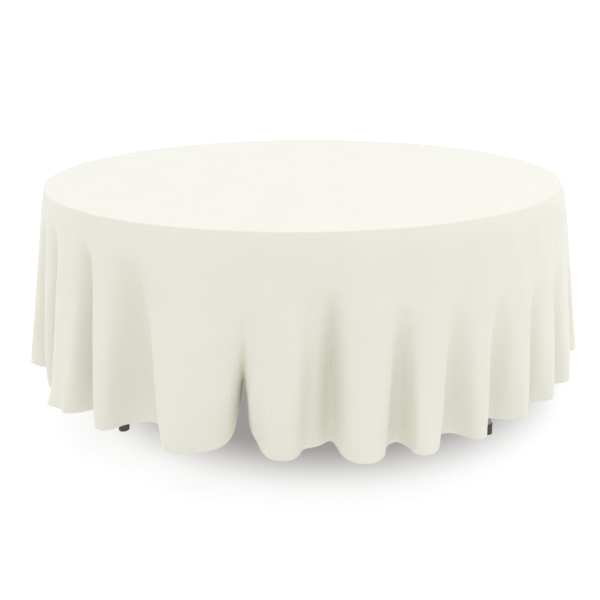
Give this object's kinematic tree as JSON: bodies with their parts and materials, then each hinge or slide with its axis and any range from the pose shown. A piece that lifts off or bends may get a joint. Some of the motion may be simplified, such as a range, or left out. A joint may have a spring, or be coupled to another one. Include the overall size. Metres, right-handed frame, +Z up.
{
  "type": "tablecloth on a folding banquet table",
  "caption": "Round polyester tablecloth hanging in soft folds over a round plywood banquet table with folding wishbone legs, hinged brace arms and plastic foot caps.",
  "frame": {"origin": "on the floor, below the middle of the round top", "axes": "+Z up, -Y towards the front (the side that is seen), +X to the right of someone who faces the front"},
  "size_m": [2.0642, 2.0481, 0.7638],
  "materials": {
    "ivory_polyester": "plain-woven spun polyester, matt",
    "plywood": "clear-lacquered plywood",
    "runner_timber": "planed softwood",
    "dark_plastic": "moulded vinyl, dull",
    "painted_tube": "powder-coated steel",
    "zinc_steel": "bright zinc-plated"
  },
  "bodies": {
    "table": {"table_top": "plywood", "edge_moulding": "dark_plastic", "runner_front": "runner_timber", "runner_back": "runner_timber", "runner_screw_front_1": "zinc_steel", "runner_screw_front_2": "zinc_steel", "runner_screw_front_3": "zinc_steel", "runner_screw_back_1": "zinc_steel", "runner_screw_back_2": "zinc_steel", "runner_screw_back_3": "zinc_steel", "right_brace_bracket": "zinc_steel", "right_brace_pin": "zinc_steel", "brace_screw_right_inner": "zinc_steel", "brace_screw_right_outer": "zinc_steel", "saddle_right_front": "zinc_steel", "saddle_screw_right_front_inner": "zinc_steel", "saddle_screw_right_front_outer": "zinc_steel", "saddle_right_back": "zinc_steel", "saddle_screw_right_back_inner": "zinc_steel", "saddle_screw_right_back_outer": "zinc_steel", "left_brace_bracket": "zinc_steel", "left_brace_pin": "zinc_steel", "brace_screw_left_inner": "zinc_steel", "brace_screw_left_outer": "zinc_steel", "saddle_left_front": "zinc_steel", "saddle_screw_left_front_inner": "zinc_steel", "saddle_screw_left_front_outer": "zinc_steel", "saddle_left_back": "zinc_steel", "saddle_screw_left_back_inner": "zinc_steel", "saddle_screw_left_back_outer": "zinc_steel"},
    "right_legs": {"right_pivot_tube": "painted_tube", "right_leg_front": "painted_tube", "right_leg_back": "painted_tube", "right_crossbar": "painted_tube", "right_brace_lug": "painted_tube", "right_lug_pin": "zinc_steel", "right_foot_cap_front": "dark_plastic", "right_foot_cap_back": "dark_plastic"},
    "right_upper_brace": {"right_upper_brace_arm": "painted_tube"},
    "right_lower_brace": {"right_lower_brace_arm": "painted_tube", "right_brace_rivet": "zinc_steel"},
    "left_legs": {"left_pivot_tube": "painted_tube", "left_leg_front": "painted_tube", "left_leg_back": "painted_tube", "left_crossbar": "painted_tube", "left_brace_lug": "painted_tube", "left_lug_pin": "zinc_steel", "left_foot_cap_front": "dark_plastic", "left_foot_cap_back": "dark_plastic"},
    "left_upper_brace": {"left_upper_brace_arm": "painted_tube"},
    "left_lower_brace": {"left_lower_brace_arm": "painted_tube", "left_brace_rivet": "zinc_steel"},
    "cloth": {"tablecloth": "ivory_polyester", "hem_band": "ivory_polyester"}
  },
  "joints": [
    {"name": "right_leg_fold", "type": "hinge", "parent": "table", "child": "right_legs", "pos_m": [0.555, -0.018, 0.6877], "axis": [0, 1, 0], "range_deg": [0, 93.9]},
    {"name": "right_upper_brace_fold", "type": "hinge", "parent": "table", "child": "right_upper_brace", "pos_m": [0.205, -0.018, 0.7177], "axis": [0, 1, 0], "range_deg": [-40.5, 0]},
    {"name": "right_lower_brace_fold", "type": "hinge", "parent": "right_legs", "child": "right_lower_brace", "pos_m": [0.54207, -0.018, 0.43624], "axis": [0, 1, 0], "range_deg": [0, 46.8]},
    {"name": "left_leg_fold", "type": "hinge", "parent": "table", "child": "left_legs", "pos_m": [-0.555, 0.018, 0.6877], "axis": [0, -1, 0], "range_deg": [0, 93.9]},
    {"name": "left_upper_brace_fold", "type": "hinge", "parent": "table", "child": "left_upper_brace", "pos_m": [-0.205, 0.018, 0.7177], "axis": [0, -1, 0], "range_deg": [-40.5, 0]},
    {"name": "left_lower_brace_fold", "type": "hinge", "parent": "left_legs", "child": "left_lower_brace", "pos_m": [-0.54207, 0.018, 0.43624], "axis": [0, -1, 0], "range_deg": [0, 46.8]},
    {"name": "cloth_lift", "type": "slide", "parent": "table", "child": "cloth", "axis": [0, 0, 1], "range_m": [0, 0.65]}
  ],
  "couplings": [
    {"joint": "right_upper_brace_fold", "follows": "right_leg_fold", "ratio": -0.42452},
    {"joint": "right_lower_brace_fold", "follows": "right_leg_fold", "ratio": 0.49241},
    {"joint": "left_upper_brace_fold", "follows": "left_leg_fold", "ratio": -0.42452},
    {"joint": "left_lower_brace_fold", "follows": "left_leg_fold", "ratio": 0.49241}
  ]
}
